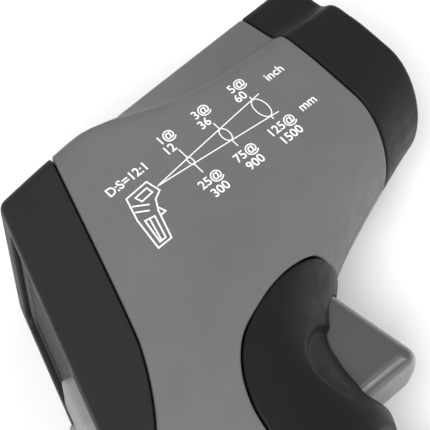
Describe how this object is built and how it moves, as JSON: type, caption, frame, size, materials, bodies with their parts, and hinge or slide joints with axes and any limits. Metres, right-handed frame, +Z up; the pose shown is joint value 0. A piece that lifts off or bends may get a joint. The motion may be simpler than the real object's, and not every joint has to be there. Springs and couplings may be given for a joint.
{
  "type": "infrared thermometer",
  "caption": "Pistol-grip infrared thermometer lying on its side, with grey case halves, dark nose cap, display bezel and battery door, trigger and keys.",
  "frame": {"origin": "centre of the footprint, on the surface that the left side of the case rests on", "axes": "+X along the line of sight, towards the nose; +Y towards the top of the instrument, so the handle runs towards -Y; +Z up, towards the instrument's right side"},
  "size_m": [0.1124, 0.168, 0.042],
  "materials": {
    "shell_grey": "fine matte texture",
    "trim_black": "matte",
    "nose_black": "satin",
    "grip_black": "satin soft touch",
    "trigger_grey": "satin",
    "key_grey": "matte silicone",
    "window": "polished smoked acrylic",
    "lcd_glass": "liquid crystal glass",
    "backlight_white": "diffusing",
    "board_green": "solder mask",
    "mat_grey": "silicone",
    "inner_black": "moulded",
    "steel": "plain",
    "brass": "turned",
    "battery_wrap": "metal jacket with a plain sleeve",
    "lead_red": "insulation",
    "lens_clear": "infrared transparent plastic",
    "laser_window_red": "polished",
    "ribbon": "flat cable"
  },
  "bodies": {
    "housing": {"right_shell": "shell_grey", "left_shell": "shell_grey", "nose_cap": "nose_black", "rear_bezel": "trim_black", "display_window": "window", "lcd_panel": "lcd_glass", "backlight": "backlight_white", "main_board": "board_green", "key_mat": "mat_grey", "key_switches": "inner_black", "trigger_pin": "steel", "trigger_spring": "steel", "trigger_switch": "inner_black", "door_pin": "steel", "battery": "battery_wrap", "battery_snap": "inner_black", "battery_leads": "lead_red", "lens_barrel": "inner_black", "ir_lens": "lens_clear", "lens_ring": "inner_black", "thermopile": "steel", "sensor_board": "board_green", "sensor_ribbon": "ribbon", "laser_module": "brass", "laser_window": "laser_window_red", "buzzer": "inner_black", "case_screws": "steel", "board_screws": "steel"},
    "trigger_body": {"trigger": "trigger_grey"},
    "door": {"battery_door": "grip_black"},
    "left_key_body": {"left_key": "key_grey"},
    "right_key_body": {"right_key": "key_grey"},
    "set_key_body": {"set_key": "key_grey"}
  },
  "joints": [
    {"name": "trigger_pull", "type": "hinge", "parent": "housing", "child": "trigger_body", "pos_m": [0.0123, 0.03981, 0.021], "axis": [0, 0, 1], "range_deg": [-7, 0], "stiffness_Nm_per_rad": 0.35, "springref_deg": 20.05},
    {"name": "door_open", "type": "hinge", "parent": "housing", "child": "door", "pos_m": [-0.01715, -0.07685, 0.021], "axis": [0, 0, 1], "range_deg": [-45, 0]},
    {"name": "left_key_press", "type": "slide", "parent": "housing", "child": "left_key_body", "axis": [0.9455, -0.3256, 0], "range_m": [0, 0.0008], "stiffness_N_per_m": 900, "springref_m": -0.0008},
    {"name": "right_key_press", "type": "slide", "parent": "housing", "child": "right_key_body", "axis": [0.9455, -0.3256, 0], "range_m": [0, 0.0008], "stiffness_N_per_m": 900, "springref_m": -0.0008},
    {"name": "set_key_press", "type": "slide", "parent": "housing", "child": "set_key_body", "axis": [0.9455, -0.3256, 0], "range_m": [0, 0.0008], "stiffness_N_per_m": 900, "springref_m": -0.0008}
  ]
}
